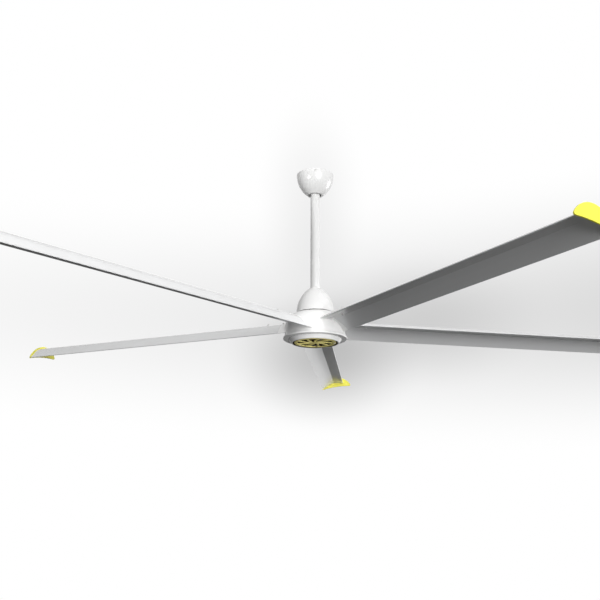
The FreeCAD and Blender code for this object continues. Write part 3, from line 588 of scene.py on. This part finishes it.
finishes["core_steel"] = banded(
    "laminated_core", bands=320.0, colours=((0.10, 0.10, 0.11), (0.26, 0.26, 0.27)), rough=(0.4, 0.55),
    depth=0.0002, metallic=0.6)
finishes["copper_wire"] = banded(
    "wound_copper", bands=160.0, colours=((0.28, 0.09, 0.03), (0.62, 0.26, 0.10)), rough=(0.25, 0.4),
    depth=0.0008, metallic=0.7)

# %% [markdown]
# ## Finishes onto the frame
# The record says which slot each node takes. Only the material slots of the frame's objects change. The
# end plate in the hub's top shares the casting's white. The bottom ring with painted shade inside, the blades
# and the shaft with its nut in dark painted shade have finishes of their own.

# %% Assign finishes
for entry in frame["record"]["subparts"]:
    node = entry["node"]
    finish = own_finishes.get(node, finishes.get(entry["material_slot"]))
    for place in frame["nodes"][node].material_slots:
        place.material = finish

# %% [markdown]
# ## Fastener shapes
# The frame's fasteners are plain cylinders. Up close a real one has a socket or a cross recess to drive it
# and a chamfer to catch the light. A stack of rings makes all of them: each ring is a circle, a hexagon or
# a cross at one height, and neighbouring rings are bridged with faces.

# %% Ring stacks
ring_points = 48
cross_half_arm = math.radians(12)
cross_root = 0.4
sharp_from = math.radians(35)


def circle(angle):
    return 1.0


def hexagon(angle):
    return 1.0 / math.cos((angle + math.pi / 6) % (math.pi / 3) - math.pi / 6)


def cross(angle):
    off_arm = abs((angle + math.pi / 4) % (math.pi / 2) - math.pi / 4)
    return 1.0 if off_arm < cross_half_arm else cross_root


def stacked(name, levels):
    shape = bmesh.new()
    angles = [2 * math.pi * i / ring_points for i in range(ring_points)]
    loops = []
    for outline, radius, level in levels:
        loops.append([shape.verts.new((radius * outline(a) * math.cos(a), radius * outline(a) * math.sin(a), level))
                      for a in angles])
    for low, high in zip(loops, loops[1:]):
        for i in range(ring_points):
            j = (i + 1) % ring_points
            shape.faces.new((low[i], low[j], high[j], high[i]))
    shape.faces.new(reversed(loops[0]))
    shape.faces.new(loops[-1])
    bmesh.ops.recalc_face_normals(shape, faces=shape.faces)
    mesh = bpy.data.meshes.new(name)
    shape.to_mesh(mesh)
    shape.free()
    mesh.shade_smooth()
    mesh.set_sharp_from_angle(angle=sharp_from)
    print("shape", name, len(mesh.polygons), "faces")
    return mesh


# %% [markdown]
# A button-head bolt with a hexagon socket holds each blade from below, and a domed nut closes it on top.
# Both are drawn standing on the plane they seat on. The bolt's shank and the nut's dome go up.

# %% Bolt and nut


def button_bolt(shank_radius, shank_length, head_radius, head_height, socket_flats):
    socket = socket_flats / 2
    return stacked("button_bolt", [
        (hexagon, socket * 0.98, -0.35 * head_height),
        (hexagon, socket, -0.98 * head_height),
        (circle, 1.25 * socket, -head_height),
        (circle, 0.62 * head_radius, -0.90 * head_height),
        (circle, 0.80 * head_radius, -0.70 * head_height),
        (circle, 0.94 * head_radius, -0.40 * head_height),
        (circle, head_radius, -0.12 * head_height),
        (circle, head_radius, 0.0),
        (circle, shank_radius, 0.0),
        (circle, shank_radius, shank_length),
    ])


def domed_nut(bore, flats, height, dome_height, dome_radius):
    half = flats / 2
    levels = [
        (circle, bore, 0.8 * height),
        (circle, bore, 0.0),
        (circle, 1.22 * half, 0.0),
        (circle, 1.22 * half, 0.14 * height),
        (hexagon, half, 0.2 * height),
        (hexagon, half, 0.86 * height),
        (circle, 0.98 * half, height),
        (circle, dome_radius, height),
    ]
    for lean in map(math.radians, range(15, 90, 15)):
        levels.append((circle, dome_radius * math.cos(lean), height + dome_height * math.sin(lean)))
    levels.append((circle, 0.05 * dome_radius, height + dome_height))
    return stacked("domed_nut", levels)


# %% [markdown]
# The small screws are pan heads with a cross recess. The shank goes up from the plane under the head.

# %% Pan-head screw


def pan_screw(name, shank_radius, shank_length, head_radius, head_height):
    return stacked(name, [
        (cross, 0.45 * head_radius, -0.45 * head_height),
        (cross, 0.55 * head_radius, -0.97 * head_height),
        (circle, 0.66 * head_radius, -head_height),
        (circle, 0.85 * head_radius, -0.92 * head_height),
        (circle, 0.97 * head_radius, -0.70 * head_height),
        (circle, head_radius, -0.45 * head_height),
        (circle, head_radius, 0.0),
        (circle, shank_radius, 0.0),
        (circle, shank_radius, shank_length),
    ])


# %% [markdown]
# ## One tree for everything that repeats round the axis
# All fasteners repeat about the fan's axis, in one or two rows. The tree puts a row of pieces along X,
# turns the row to each blade or screw place, realizes the copies and sets the finish. Counts, radii and
# angles are its inputs.

# %% A row of pieces along X
around_axis = bpy.data.node_groups.new("round_the_axis", "GeometryNodeTree")
around_axis.interface.new_socket("Geometry", in_out="OUTPUT", socket_type="NodeSocketGeometry")
axis_inputs = {}
for label, kind in (("Piece", "Object"), ("Count", "Int"), ("First Angle", "Float"), ("Inner Radius", "Float"),
                    ("Rows", "Int"), ("Spacing", "Float"), ("Finish", "Material")):
    socket = around_axis.interface.new_socket(label, in_out="INPUT", socket_type="NodeSocket" + kind)
    axis_inputs[label] = socket.identifier
gn = around_axis.nodes
wire = around_axis.links.new
given = gn.new("NodeGroupInput").outputs
piece_info = gn.new("GeometryNodeObjectInfo")
wire(given["Piece"], piece_info.inputs["Object"])
row_start = gn.new("ShaderNodeCombineXYZ")
wire(given["Inner Radius"], row_start.inputs["X"])
row_step = gn.new("ShaderNodeCombineXYZ")
wire(given["Spacing"], row_step.inputs["X"])
row = gn.new("GeometryNodeMeshLine")
wire(given["Rows"], row.inputs["Count"])
wire(row_start.outputs[0], row.inputs["Start Location"])
wire(row_step.outputs[0], row.inputs["Offset"])
row_pieces = gn.new("GeometryNodeInstanceOnPoints")
wire(row.outputs[0], row_pieces.inputs["Points"])
wire(piece_info.outputs["Geometry"], row_pieces.inputs["Instance"])
print("inputs", list(axis_inputs))

# %% [markdown]
# One point stands for each place, all at the axis. A point's index gives its angle, and the whole row is
# instanced on it, turned by that angle.

# %% The row turned to each place
places = gn.new("GeometryNodePoints")
wire(given["Count"], places.inputs["Count"])
step_angle = maths(around_axis, "DIVIDE", 2 * math.pi, given["Count"])
place_angle = gn.new("ShaderNodeMath")
place_angle.operation = "MULTIPLY_ADD"
wire(gn.new("GeometryNodeInputIndex").outputs[0], place_angle.inputs[0])
wire(step_angle, place_angle.inputs[1])
wire(given["First Angle"], place_angle.inputs[2])
about_axis = gn.new("ShaderNodeCombineXYZ")
wire(place_angle.outputs[0], about_axis.inputs["Z"])
turned_rows = gn.new("GeometryNodeInstanceOnPoints")
wire(places.outputs[0], turned_rows.inputs["Points"])
wire(row_pieces.outputs[0], turned_rows.inputs["Instance"])
wire(about_axis.outputs[0], turned_rows.inputs["Rotation"])
real = gn.new("GeometryNodeRealizeInstances")
wire(turned_rows.outputs[0], real.inputs[0])
dressed = gn.new("GeometryNodeSetMaterial")
wire(real.outputs[0], dressed.inputs["Geometry"])
wire(given["Finish"], dressed.inputs["Material"])
wire(dressed.outputs[0], gn.new("NodeGroupOutput").inputs[0])
print("nodes in the tree", len(gn))

# %% [markdown]
# The helper below stands a shape on its seat, runs the tree, keeps the result as a plain mesh, hangs it on
# the body it rides on and hides the node it stands for.

# %% Helper for repeated pieces


def repeated(name, mesh, stand, body, node, count, first_angle, radius, rows=1, spacing=0.0, slot="zinc_steel"):
    mesh.transform(stand)
    pattern = bpy.data.objects.new(name + "_pattern", mesh)
    carrier = bpy.data.objects.new(name + "_carrier", bpy.data.meshes.new(name + "_carrier"))
    scene.collection.objects.link(carrier)
    modifier = carrier.modifiers.new("round_the_axis", "NODES")
    modifier.node_group = around_axis
    for label, value in (("Piece", pattern), ("Count", count), ("First Angle", math.radians(first_angle)),
                         ("Inner Radius", radius), ("Rows", rows), ("Spacing", spacing), ("Finish", finishes[slot])):
        modifier[axis_inputs[label]] = value
    evaluated = carrier.evaluated_get(bpy.context.evaluated_depsgraph_get())
    plain = bpy.data.meshes.new_from_object(evaluated)
    bpy.data.objects.remove(carrier)
    bpy.data.objects.remove(pattern)
    piece = bpy.data.objects.new(name, plain)
    scene.collection.objects.link(piece)
    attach(piece, body)
    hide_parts(node)
    print(name, len(plain.polygons), "faces")


# %% [markdown]
# ## Blade bolts and nuts
# The bolts stand square on the flat front part of the blade's underside, where the rounded top runs
# parallel to it. The same few sizes as in the solids give that place: the section is measured from its nose,
# along the chord and above it, and `on_blade` turns such a point into the frame.

# %% Seats on the blade
lip_height = -1.100
nose_above_lip = 0.0861
nose_height = lip_height + nose_above_lip
nose_side = -0.078
blade_pitch = math.radians(16.1)
crease_along, crease_above = 0.0827, 0.028
crest_along, crest_above = 0.0893, 0.0531
flat_slope = math.atan2(crease_above, crease_along)
top_radius = (crest_along ** 2 + crest_above ** 2) / (2 * crest_above)
top_along = crest_along - top_radius * math.sin(flat_slope)
top_above = crest_above - top_radius * (1 - math.cos(flat_slope))
blade_depth = (top_above - top_along * math.tan(flat_slope)) * math.cos(flat_slope)


def on_blade(along, above):
    return Vector((0.0, nose_side + along * math.cos(blade_pitch) + above * math.sin(blade_pitch),
                   nose_height - along * math.sin(blade_pitch) + above * math.cos(blade_pitch)))


tilt = Matrix.Rotation(flat_slope - blade_pitch, 4, "X")
top_stand = Matrix.Translation(on_blade(top_along, top_above)) @ tilt
low_stand = top_stand @ Matrix.Translation((0, 0, -blade_depth))
print("blade depth at the bolts", round(blade_depth, 4))

# %% [markdown]
# Two bolts hold each blade, one behind the other along the span. The shank ends at the top of the nut's hexagon.

# %% Place the blade fasteners
nut_height = 0.008
bolt = button_bolt(shank_radius=0.005, shank_length=blade_depth + nut_height, head_radius=0.009, head_height=0.005,
                   socket_flats=0.006)
nut = domed_nut(bore=0.0051, flats=0.017, height=nut_height, dome_height=0.007, dome_radius=0.0075)
each_blade = {"count": blade_count, "first_angle": first_blade_angle}
bolt_rows = {"radius": 0.219, "rows": 2, "spacing": 0.107}
repeated("blade_button_bolts", bolt, low_stand, "rotor", "blade_bolts", **each_blade, **bolt_rows)
repeated("blade_domed_nuts", nut, top_stand, "rotor", "blade_nuts", **each_blade, **bolt_rows)

# %% [markdown]
# ## Small screws
# Pan heads hold the end plate in the hub's top, the grille, the tip plates and the canopy. Those in the
# hub's top stand head up, and those of the canopy lie with the head outwards.

# %% Place the small screws
hub_top = -0.942
grille_face = -1.123
canopy_screw_height = -0.017
head_up = Matrix.Translation((0, 0, hub_top)) @ Matrix.Rotation(math.pi, 4, "X")
head_down = Matrix.Translation((0, 0, grille_face))
head_out = Matrix.Translation((0, 0, canopy_screw_height)) @ Matrix.Rotation(math.radians(-90), 4, "Y")
upper = pan_screw("upper_pan", shank_radius=0.0025, shank_length=0.016, head_radius=0.0045, head_height=0.0026)
repeated("upper_pan_screws", upper, head_up, "rotor", "upper_plate_screws", **each_blade, radius=0.121)
front = pan_screw("grille_pan", shank_radius=0.002, shank_length=0.019, head_radius=0.004, head_height=0.002)
repeated("grille_pan_screws", front, head_down, "rotor", "grille_screws", count=5, first_angle=0.0, radius=0.1195)
outer = pan_screw("tip_pan", shank_radius=0.002, shank_length=0.0068, head_radius=0.004, head_height=0.0016)
repeated("tip_pan_screws", outer, low_stand, "rotor", "tip_cap_screws", **each_blade, radius=2.116)
side = pan_screw("canopy_pan", shank_radius=0.0025, shank_length=0.0109, head_radius=0.005, head_height=0.003)
repeated("canopy_pan_screws", side, head_out, "ceiling_mount", "canopy_screws", count=3, first_angle=30.0,
         radius=0.1199)
